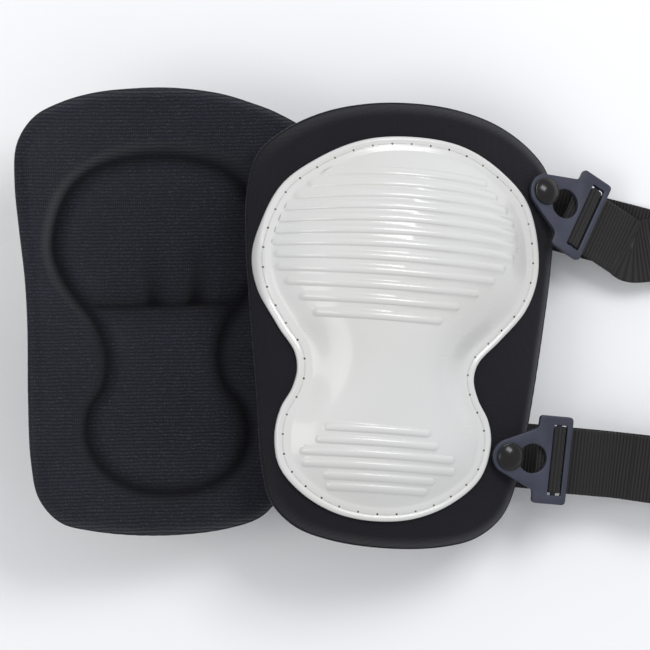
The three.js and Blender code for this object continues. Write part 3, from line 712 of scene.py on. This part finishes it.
def bar_rise(x, y):
    """Height of the raised bars: round-ended ridges."""
    rise = np.zeros_like(x)
    half_width = BAR_WIDTH / 2
    for level, half, shift in bars():
        off_middle = x - middle_x(cap_middle, level) - shift
        past = np.maximum(np.abs(off_middle) - (half - half_width), 0)
        off = np.hypot(past, y - level + arch_at(level) * off_middle**2) / half_width
        rise = np.maximum(rise, BAR_HEIGHT * np.clip(1 - off**2, 0, 1) ** BAR_ROUNDNESS)
    return rise


def cap_rows():
    """Parameters up the right side of the cap's outline: even steps, and rows along each bar's profile."""
    fine = np.linspace(0, 0.5, 2001)
    edge = outline(CAP_OUTLINE, fine, (0, 0, 0), FLANGE)
    crest = edge[:, 1] + arch_at(edge[:, 1]) * edge[:, 0] ** 2
    profile = np.array(BAR_PROFILE) * BAR_WIDTH / 2
    wanted = np.array([level + offset for level, _, _ in bars() for offset in profile])
    even = np.linspace(0, 0.5, 191)
    heights = np.interp(even, fine, crest)
    free = even[np.abs(heights[:, None] - wanted[None, :]).min(axis=1) > CLEAR_OF_BARS]
    return np.union1d(free, np.interp(wanted, crest, fine))


def cap_object(name, columns=181):
    """The cap's shell: a grid of rows across the domes, the sewn flange round it, and its rolled lip."""
    u = cap_rows()
    rows = len(u)
    inner = outline(CAP_OUTLINE, u, (0, 0, 0), FLANGE)
    inner[[0, -1], 0] = 0
    across = np.linspace(1, -1, columns)
    off_middle = inner[:, :1] * across
    x = off_middle + middle_x(cap_middle, inner[:, 1:])
    y = inner[:, 1:] + arch_at(inner[:, 1:]) * (inner[:, :1] ** 2 - off_middle**2)
    z = (cap_top(x.ravel(), y.ravel()) + bar_rise(x.ravel(), y.ravel())).reshape(x.shape)
    top = np.stack([x, y, z], axis=-1).reshape(-1, 3)
    loop = np.concatenate([u, 1 - u[::-1]])
    inner_ring = outline(CAP_OUTLINE, loop, cap_middle, FLANGE)
    outer_ring = outline(CAP_OUTLINE, loop, cap_middle)
    for end in (0, rows - 1, rows, -1):
        inner_ring[end, 0] = middle_x(cap_middle, inner_ring[end, 1])
    ring_rows = []
    for inset in FLANGE_INSETS:
        p = lerp(outer_ring, inner_ring, inset / FLANGE)
        lip = LIP_HEIGHT * np.exp(-((inset - LIP_INSET) ** 2))
        seam = SEAM_DIP * np.exp(-(((inset - STITCH_INSET) / SEAM_WIDTH) ** 2))
        corner = max(0, 1 - inset)
        drop = 1 - math.sqrt(1 - corner**2)
        ring_rows.append(np.column_stack([p, cap_top(p[:, 0], p[:, 1]) + (lip - seam) - drop]))
    wall = ring_rows[-1] - [0, 0, CAP_THICK - 1]
    under = lerp(outer_ring, inner_ring, 1.2)
    under = np.column_stack([under, cap_top(under[:, 0], under[:, 1]) - CAP_THICK])
    ring = np.concatenate([*ring_rows, wall, under])
    faces = grid_faces(rows, columns, flip=True)
    faces += grid_faces(len(ring_rows) + 2, 2 * rows, closed=True, start=len(top))
    return mesh_object(name, np.concatenate([top, ring]), faces, SHELL, merge=0.01)


def stitch_places():
    """Places round the flange, an even step apart, and the count of needle holes: one every STITCH_STEPS."""
    u = np.linspace(0, 1, 2001)
    line = outline(CAP_OUTLINE, u, cap_middle, STITCH_INSET)
    along = np.concatenate([[0], np.cumsum(np.linalg.norm(np.diff(line, axis=0), axis=1))])
    count = round(along[-1] / STITCH_PITCH)
    steps = count * STITCH_STEPS
    at = np.interp((np.arange(steps) / steps) * along[-1], along, u)
    return outline(CAP_OUTLINE, at, cap_middle, STITCH_INSET), count


def tube(path, radii, sides=8):
    """Points and faces of a closed round tube along a path, with a radius at each point."""
    path = np.asarray(path, float)
    t = np.gradient(path, axis=0)
    t /= np.linalg.norm(t, axis=1, keepdims=True)
    side = np.cross(t, [0, 0, 1])
    side /= np.linalg.norm(side, axis=1, keepdims=True)
    up = np.cross(side, t)
    turns = 2 * np.pi * np.arange(sides) / sides
    rings = (
        path[:, None]
        + side[:, None] * (np.cos(turns)[None, :, None] * np.asarray(radii)[:, None, None])
        + up[:, None] * (np.sin(turns)[None, :, None] * np.asarray(radii)[:, None, None])
    )
    faces = grid_faces(len(path), sides, closed=True)
    last = (len(path) - 1) * sides
    faces += [list(range(sides))[::-1], list(range(last, last + sides))]
    return rings.reshape(-1, 3), faces


def stitching_object(name):
    """The cap's lock stitches: a thread between each pair of needle holes, and the holes' dark mouths."""
    line, count = stitch_places()
    height = cap_top(line[:, 0], line[:, 1]) - SEAM_DIP
    path = np.column_stack([line, height])
    points, faces, holes = [], [], []
    start = 0
    steps = np.arange(STITCH_STEPS + 1)
    arch = np.sin(np.pi * steps / STITCH_STEPS)
    thin, thick = THREAD_RADII
    for i in range(count):
        stretch = path[(STITCH_STEPS * i + steps) % len(path)]
        stretch[:, 2] += THREAD_ARCH * arch**0.5 - THREAD_SUNK
        stitch, quads = tube(stretch, lerp(thin, thick, arch**0.4))
        points.append(stitch)
        faces += [[v + start for v in face] for face in quads]
        start += len(stitch)
    thread_faces = len(faces)
    sides = 12
    turns = 2 * np.pi * np.arange(sides) / sides
    for centre in path[::STITCH_STEPS]:
        rim = centre[:2] + np.column_stack([np.cos(turns), np.sin(turns)]) * HOLE_MOUTH
        rim = np.column_stack([rim, cap_top(rim[:, 0], rim[:, 1]) - SEAM_DIP + HOLE_RISE])
        points.append(np.vstack([rim, [[*centre[:2], rim[:, 2].mean()]]]))
        holes += [[start + k, start + (k + 1) % sides, start + sides] for k in range(sides)]
        start += sides + 1
    made = mesh_object(name, np.concatenate(points), faces + holes, THREAD, HOLE)
    index = np.zeros(len(made.data.polygons), np.int32)
    index[thread_faces:] = 1
    made.data.polygons.foreach_set("material_index", index)
    return made


# ---- Cover and padding ----
def uneven(x, y, size, seed):
    """A gentle unevenness, from -1 to 1, with bumps about size millimetres apart."""
    return np.array([noise.noise((a / size, b / size, seed)) for a, b in zip(x, y)])


def cover_object(name):
    """The outer cover: one skin of cloth over the whole pad, a little uneven."""

    def top(x, y):
        return cover_top(x, y) + 0.3 * uneven(x, y, 22, 1) * smoothstep(soft_distance(pad_edge, x, y), 0, 4)

    return sheet_body(name, top, lambda x, y: cover_top(x, y) - SKIN, COVER)


def padding_object(name):
    """The lining, with the foam and cushions that it hides, as one padded body."""

    def bottom(x, y):
        loose = smoothstep(soft_distance(pad_edge, x, y), 0, 10)
        return lining_bottom(x, y) + (0.45 * uneven(x, y, 26, 5) + 0.2 * uneven(x, y, 9, 8)) * loose

    made = sheet_body(name, lambda x, y: cover_top(x, y) - SKIN - GAP, bottom, KNIT)
    points = np.zeros(3 * len(made.data.vertices), np.float32)
    made.data.vertices.foreach_get("co", points)
    x, y, _ = points.reshape(-1, 3).T / MM
    # sunk: how far down in the groove and the folds each point lies; the lining's material darkens its
    # colour by it as painted shade
    groove = np.exp(-((soft_distance(cushion_edge, x, y) / GROOVE_WIDTH) ** 2))
    sunk = np.clip(0.8 * groove + lining_folds(x, y) / DEEP_FOLD, 0, 1).astype(np.float32)
    made.data.attributes.new("sunk", "FLOAT", "POINT").data.foreach_set("value", sunk)
    return made


# ---- Studs ----
def edge_x(y, side):
    """Where the pad's edge is on one side, 1 or -1, at a height."""
    same_side = pad_edge[pad_edge[:, 0] * side > 0]
    return same_side[np.argmin(np.abs(same_side[:, 1] - y)), 0]


def cover_at(x, y):
    return float(cover_top(np.array([float(x)]), np.array([float(y)]))[0])


def stud_frame(extra, y, inset, lean_y, lean_x):
    """The frame of a stud in the pad: its foot on the cover and its axis."""
    x, step = edge_x(y, 1) - inset - extra, 0.5
    slope_x = (cover_at(x + step, y) - cover_at(x - step, y)) / (2 * step)
    slope_y = (cover_at(x, y + step) - cover_at(x, y - step)) / (2 * step)
    axis = turn(lean_x, "Y") @ turn(-lean_y, "X") @ Vector((-slope_x, -slope_y, 1)).normalized()
    facing = Vector((0, 0, 1)).rotation_difference(axis).to_matrix().to_4x4()
    return Matrix.Translation((x, y, cover_at(x, y))) @ facing


def turned_object(name, corners, material, sides=64):
    """A round body about z from (radius, height) corners, first and last on the axis."""
    corners = np.array(corners, float)
    angles = 2 * np.pi * np.arange(sides) / sides
    points = np.stack([
        np.outer(corners[:, 0], np.cos(angles)),
        np.outer(corners[:, 0], np.sin(angles)),
        np.outer(corners[:, 1], np.ones(sides)),
    ], axis=-1).reshape(-1, 3)
    made = mesh_object(name, points, grid_faces(len(corners), sides, closed=True), material, merge=0.001)
    made.data.set_sharp_from_angle(angle=math.radians(50))
    return made


def stud_object(name):
    """A stud: a domed button with a turned-under rim, its post through the pad and a washer behind."""
    base, top = BUTTON_BASE, BUTTON_BASE + BUTTON_HEIGHT
    bead_centre = (BUTTON_RADIUS - BUTTON_BEAD, base + BUTTON_BEAD)
    bead = arc(bead_centre, BUTTON_BEAD, -math.pi / 2, math.pi / 2, 9)
    neck = (BUTTON_RADIUS - BUTTON_NECK[0], base + BUTTON_NECK[1])
    dome_line = [
        (r, top - BUTTON_CROWN_DROP * (r / BUTTON_CROWN_RADIUS) ** 2.2)
        for r in np.linspace(BUTTON_CROWN_RADIUS, 0, 16)
    ]
    foot = WASHER_TOP - WASHER
    corners = [
        (0, foot), (WASHER_RADIUS, foot), (WASHER_RADIUS, WASHER_TOP), (POST_RADIUS, WASHER_TOP),
        (POST_RADIUS, base), *bead, neck, *dome_line,
    ]
    return turned_object(name, corners, STUD)


# ---- Hooks ----
def rounded(points, radius, steps=6):
    """A closed outline with each (x, y, round?) corner that asks for it rounded."""
    made = []
    for i, (x, y, round_it) in enumerate(points):
        if not round_it:
            made.append((x, y))
            continue
        corner = np.array((x, y))
        before = np.array(points[i - 1][:2]) - corner
        after = np.array(points[(i + 1) % len(points)][:2]) - corner
        start = corner + before / np.linalg.norm(before) * radius
        end = corner + after / np.linalg.norm(after) * radius
        for t in np.linspace(0, 1, steps):
            made.append(tuple((1 - t) ** 2 * start + 2 * t * (1 - t) * corner + t**2 * end))
    return made


def plate(name, outlines, low, high, bevel, material):
    """A flat plate with rounded edges from its outer outline and the outlines of its holes."""
    curve = bpy.data.curves.new(name, "CURVE")
    curve.dimensions = "2D"
    curve.fill_mode = "BOTH"
    for points in outlines:
        made = curve.splines.new("POLY")
        made.points.add(len(points) - 1)
        made.points.foreach_set("co", np.array([(x * MM, y * MM, 0, 1) for x, y in points]).ravel())
        made.use_cyclic_u = True
    curve.bevel_depth = bevel * MM
    curve.bevel_resolution = 3
    curve.offset = -bevel * MM
    curve.extrude = (high - low) / 2 * MM - bevel * MM
    source = bpy.data.objects.new(name + "_curve", curve)
    bpy.context.scene.collection.objects.link(source)
    mesh = bpy.data.meshes.new_from_object(source.evaluated_get(bpy.context.evaluated_depsgraph_get()))
    bpy.data.objects.remove(source)
    mesh.transform(Matrix.Translation((0, 0, (low + high) / 2 * MM)))
    mesh.materials.clear()
    mesh.materials.append(material)
    made = bpy.data.objects.new(name, mesh)
    bpy.context.scene.collection.objects.link(made)
    weld(made, 0.002)
    return made


def join(parts, name):
    """One object from several, in the first one's frame."""
    with bpy.context.temp_override(active_object=parts[0], selected_editable_objects=parts):
        bpy.ops.object.join()
    parts[0].name = name
    return parts[0]


def hook_object(name):
    """The hook: a keyhole plate with a slot, and the bar that the webbing goes round."""
    shoulder_x, shoulder = SHOULDER
    end, half = BLOCK
    tangent = math.atan2(shoulder, shoulder_x) + math.acos(NOSE_RADIUS / math.hypot(shoulder_x, shoulder))
    nose = [(x, y, False) for x, y in arc((0, 0), NOSE_RADIUS, tangent, 2 * math.pi - tangent, 40)]
    corners = [
        (shoulder_x, -shoulder, True), (shoulder_x, -half, True), (end, -half, True),
        (end, half, True), (shoulder_x, half, True), (shoulder_x, shoulder, True),
    ]
    neck = POST_RADIUS + GAP
    small, large = math.asin(neck / KEYHOLE_RADIUS), math.asin(neck / HOLE_RADIUS)
    keyhole = arc((0, 0), KEYHOLE_RADIUS, small, 2 * math.pi - small, 24)
    keyhole += arc((HOLE_X, 0), HOLE_RADIUS, large - math.pi, math.pi - large, 40)
    x0, x1, y1 = SLOT
    slot_line = rounded([(x0, -y1, True), (x1, -y1, True), (x1, y1, True), (x0, y1, True)], SLOT_CORNER)
    lines = [rounded(nose + corners, HOOK_CORNER), keyhole, slot_line]
    body = plate(name, lines, 0, HOOK_THICK, HOOK_BEVEL, HOOK)
    b0, b1, low, high = CENTRE_BAR
    bar_line = [(b0, -y1 - 1), (b1, -y1 - 1), (b1, y1 + 1), (b0, y1 + 1)]
    bar = plate(name + "_bar", [bar_line], low, high, CENTRE_BAR_BEVEL, HOOK)
    made = join([body, bar], name)
    made.data.shade_smooth()
    made.data.set_sharp_from_angle(angle=math.radians(40))
    return made


def hook_frame(origin, towards, up):
    """The frame of a hook that lies flat to up, with its strap leaving towards one side."""
    x = (towards - up * towards.dot(up)).normalized()
    y = up.cross(x)
    made = Matrix((x, y, up)).transposed().to_4x4()
    made.translation = origin
    return made


STUD_FRAMES = {}
for side, extra in STUDS_IN.items():
    use_pad(side)
    STUD_FRAMES[side] = {level: stud_frame(extra, *where) for level, where in STUDS.items()}


def row_shift():
    """What moves the CAD source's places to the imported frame: it puts the upper hook on its joint."""
    joint = next(j for j in frame["record"]["behaviour"]["joints"] if j["name"] == "right_upper_hook_swing")
    hinge = pad_place(RIGHT_AT, RIGHT_TURNS) @ STUD_FRAMES["right"]["upper"] @ Vector((0, 0, HOOK_LIFT))
    return Vector(joint["pos_m"]) / MM - hinge


SHIFT = row_shift()
PLACES = {
    "right": Matrix.Translation(SHIFT) @ pad_place(RIGHT_AT, RIGHT_TURNS),
    "left": Matrix.Translation(SHIFT) @ pad_place(LEFT_AT, LEFT_TURNS),
}


def hook_place(side, level):
    """A hook's frame: on its stud, or lying beside the left pad."""
    if side == "left":
        origin = SHIFT + Vector((LOOSE_HOOK_X, LOOSE_HOOK_Y[level], WEB / 2 - WEB_LOW + 0.1))
        return hook_frame(origin, Vector((-1, 0, 0)), Vector((0, 0, 1)))
    world = PLACES["right"] @ STUD_FRAMES["right"][level]
    up = world.col[2].to_3d().normalized()
    return hook_frame(world @ Vector((0, 0, HOOK_LIFT)), HOOK_TOWARDS[level], up)


# ---- Straps ----
# The webbing's way through a hook, round its centre bar, as (x, z) in the hook's frame.
CLEAR = GAP + WEB / 2 + 0.2
LOOP_PATH = [
    (HOLE_X + POST_RADIUS + 1, WEB_LOW), (SLOT[0] + 0.2, WEB_LOW), (CENTRE_BAR[0] - CLEAR, -0.2),
    (CENTRE_BAR[0] - CLEAR, CENTRE_BAR[3] + 0.2), (CENTRE_BAR[0] - 0.4, WEB_HIGH),
    (CENTRE_BAR[1] + 0.4, WEB_HIGH), (CENTRE_BAR[1] + CLEAR, CENTRE_BAR[3] + 0.2),
    (CENTRE_BAR[1] + CLEAR, -0.2), (SLOT[1] - 0.4, WEB_LOW), (LOOP_END, WEB_LOW),
]
# The right straps' ways on from their hooks, before SHIFT: out, folded back, and in under the pad.
RIGHT_RUNS = {
    "upper": [
        (200, 45, 8), (214, 41, 8), (219, 39.5, 5.2), (214, 41, 2.4), (196, 46, 1.7),
        (150, 58, 1.8), (118, 66, 4), (60, 69, 28), (14, 69, 51.5), (-6, 69, 57),
    ],
    "lower": [
        (196, -86, 34), (220, -88, 23), (226, -88.5, 12), (214, -87, 2.6), (196, -85, 1.2),
        (160, -81, 3), (118, -77, 12), (60, -71, 34), (14, -68, 50), (-4, -67, 55),
    ],
}
SEWN_ROOM = GAP + WEB / 2 + 1.6
ACROSS = np.array([0, 1, 0])


def sewn_knot(side, level, inset):
    """A knot under a pad's lining, where a strap is sewn on."""
    y = STRAP_Y[level]
    x = edge_x(y, -1) + inset
    ends = np.array([(x, y - WEB_HALF), (x, y + WEB_HALF)], float)
    height = lining_bottom(ends[:, 0], ends[:, 1]) - SEWN_ROOM
    low, high = apply(PLACES[side], np.column_stack([ends, height]))
    return (low + high) / 2, (high - low) / np.linalg.norm(high - low)


def strap_knots(side, level):
    """Knots of a strap from its tail in the hook to its sewn end: places, width directions."""
    place = hook_place(side, level)
    width = np.array(place.col[1].to_3d())
    in_hook = [(apply(place, [x, 0, z]), width) for x, z in LOOP_PATH]
    sewn = [sewn_knot(side, level, inset) for inset in SEWN_INSETS[side]]
    shift = np.array(SHIFT)
    if side == "right":
        out = [(apply(place, [x, 0, WEB_LOW]), width) for x in (SWING_RADIUS, SWING_RADIUS + 7)]
        run = [(shift + p, ACROSS) for p in RIGHT_RUNS[level]]
        # the strap eases from the hook's direction to straight across
        run[0] = (run[0][0], lerp(width, ACROSS, 0.6))
        return in_hook + out + run + sewn
    _, y, z = in_hook[-1][0] - shift
    second = z + WEB + 0.5
    edge = sewn_knot(side, level, 1)[0] - shift
    lying = [
        (LOOSE_HOOK_X - LOOP_END - 8, z), (-20, z), (-80, z), (-131, z), (-134, z + 0.1),
        (-135.5, (z + second) / 2), (-134, second), (-131, second), (-80, second), (-10, second),
        (5, second + 4), (edge[0] + 7, edge[2] - 14), (edge[0] + 5, edge[2] + 0.5),
    ]
    return in_hook + [(shift + (px, y, pz), ACROSS) for px, pz in lying] + sewn


def strap_profile():
    """The webbing's section as (across, height) pairs: flat, with thicker woven edges."""
    face = [(0, 0), (6, 0), (12, 0), (15.5, 0), (16.6, 0.1), (17.6, 0.1), (18.3, 0)]
    edge = [(18.8, -0.2), (19, -0.5)]
    right = [(v, WEB / 2 + h) for v, h in face + edge]
    top = [(-v, h) for v, h in right[::-1]] + right[1:]
    return np.array(top + [(v, -h) for v, h in top[::-1]])


def strap_objects(name, side, level):
    """A strap in two pieces that meet edge to edge: the end in the hook, and the rest."""
    places, widths = (np.array(column) for column in zip(*strap_knots(side, level)))
    count = 900
    u = np.linspace(0, 1, count)
    p = spline(places, u)
    t = np.gradient(p, axis=0)
    t /= np.linalg.norm(t, axis=1, keepdims=True)
    at = u * (len(places) - 1)
    w = np.column_stack([np.interp(at, np.arange(len(places)), widths[:, i]) for i in range(3)])
    w -= t * np.sum(w * t, axis=1, keepdims=True)
    w /= np.linalg.norm(w, axis=1, keepdims=True)
    n = np.cross(t, w)
    profile = strap_profile()
    sections = p[:, None] + w[:, None] * profile[None, :, :1] - n[:, None] * profile[None, :, 1:]
    along = np.concatenate([[0], np.cumsum(np.linalg.norm(np.diff(p, axis=0), axis=1))])
    ring = len(profile)
    uv = np.stack([np.tile(profile[:, 0], (count, 1)), np.repeat(along[:, None], ring, axis=1)], axis=-1)
    from_hook = np.linalg.norm(p - np.array(hook_place(side, level).translation), axis=1)
    cut = int(np.argmax(from_hook > CUT_AT[side]))
    made = []
    for part, (start, stop) in {"end": (0, cut + 1), "run": (cut, count)}.items():
        faces = grid_faces(stop - start, ring, closed=True, flip=True)
        last = (stop - start - 1) * ring
        faces += [list(range(ring)), list(range(last, last + ring))[::-1]]
        points = sections[start:stop].reshape(-1, 3)
        made.append(mesh_object(f"{name}_{part}", points, faces, WEBBING, uv=uv[start:stop].reshape(-1, 2)))
    return made


# ---- The pair ----
def build_pad(side):
    """One pad's pieces: the cap and its stitches, the cover, the padding and the studs."""
    body = f"{side}_pad"
    place = PLACES[side]
    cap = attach(put(cap_object(f"{side}_cap_shell"), place), body)
    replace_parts(cap, f"{side}_cap")
    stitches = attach(put(stitching_object(f"{side}_cap_stitches"), place), body)
    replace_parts(stitches, f"{side}_cap_stitching")
    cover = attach(put(cover_object(f"{side}_cover_cloth"), place), body)
    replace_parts(cover, f"{side}_outer_cover")
    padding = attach(put(padding_object(f"{side}_padding"), place), body)
    inner = ("lining", "foam_core", "upper_cushion", "lower_cushion")
    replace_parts(padding, *(f"{side}_{part}" for part in inner))
    for level, stud_place in STUD_FRAMES[side].items():
        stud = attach(put(stud_object(f"{side}_{level}_stud"), place @ stud_place), body)
        parts = (f"{side}_{level}_stud_{part}" for part in ("button", "post", "washer"))
        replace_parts(stud, *parts)


def build_strap(side, level):
    """A hook, and the two pieces of the strap that it is on."""
    name = f"{side}_{level}"
    place = hook_place(side, level)
    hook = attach(put(hook_object(f"{name}_hook_plate"), place), f"{name}_hook")
    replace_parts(hook, f"{name}_hook")
    end, run = (put(half, Matrix()) for half in strap_objects(f"{name}_strap", side, level))
    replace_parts(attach(run, f"{side}_pad"), f"{name}_strap")
    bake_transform(end)
    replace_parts(end, f"{name}_strap_end")


for side in ("left", "right"):
    use_pad(side)
    build_pad(side)
    for level in ("upper", "lower"):
        build_strap(side, level)


# ---- Floor, light and camera, in metres ----
FLOOR_HALF = 4
DAYLIGHT = 0.62
LIGHT_TARGET = (0, 0, 0.05)
# Each softbox's place, size, power and colour.
SOFTBOXES = {
    "key": ((0.7, 0.9, 1.5), (0.9, 0.7), 15, (0.97, 0.98, 1)),
    "fill": ((-1.1, -0.2, 1.3), (0.8, 0.8), 5, (1, 0.97, 0.92)),
}

# The camera looks straight down from far off, centred on the pads but moved towards the straps.
VIEW_WIDTH = 0.377
VIEW_SHIFT = Vector((0.0224, -0.0039, 0))
CAMERA_HEIGHT = 4.0


def pale_floor():
    material, tree, shader = new_material("pale_floor", Roughness=0.9)
    vector, _ = local_axes(tree)
    colour = ramp(tree, noise_of(tree, vector, 3, 2), (0.3, (0.95, 0.95, 0.95)), (0.7, (0.97, 0.97, 0.97)))
    feed(tree, shader, Base_Color=colour)
    half = FLOOR_HALF / MM
    corners = [(-half, -half, 0), (half, -half, 0), (half, half, 0), (-half, half, 0)]
    floor = mesh_object("floor", corners, [[0, 1, 2, 3]], material)
    put(floor, Matrix())


def softbox(name, place, size, power, colour):
    light = bpy.data.lights.new(name, "AREA")
    light.shape = "RECTANGLE"
    light.size, light.size_y = size
    light.energy = power
    light.color = colour
    made = bpy.data.objects.new(name, light)
    bpy.context.scene.collection.objects.link(made)
    made.location = place
    made.rotation_euler = (Vector(LIGHT_TARGET) - Vector(place)).to_track_quat("-Z", "Y").to_euler()


def daylight():
    world = bpy.data.worlds.new("studio")
    world.use_nodes = True
    background = world.node_tree.nodes["Background"]
    background.inputs["Color"].default_value = (0.93, 0.95, 1, 1)
    background.inputs["Strength"].default_value = DAYLIGHT
    bpy.context.scene.world = world


def straight_down_camera():
    boxes = [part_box(f"{side}_outer_cover") for side in ("left", "right")]
    low, high = (
        Vector([pick(box[end][axis] for box in boxes) for axis in range(3)])
        for end, pick in enumerate((min, max))
    )
    aim = (low + high) / 2 + VIEW_SHIFT
    camera = bpy.data.cameras.new("camera")
    camera.sensor_width = 36
    camera.lens = camera.sensor_width * CAMERA_HEIGHT / VIEW_WIDTH
    camera.clip_end = 100
    made = bpy.data.objects.new("camera", camera)
    bpy.context.scene.collection.objects.link(made)
    made.location = (aim.x, aim.y, aim.z + CAMERA_HEIGHT)
    bpy.context.scene.camera = made


pale_floor()
daylight()
for name, settings in SOFTBOXES.items():
    softbox(name, *settings)
straight_down_camera()
bpy.context.scene.view_settings.view_transform = "Standard"
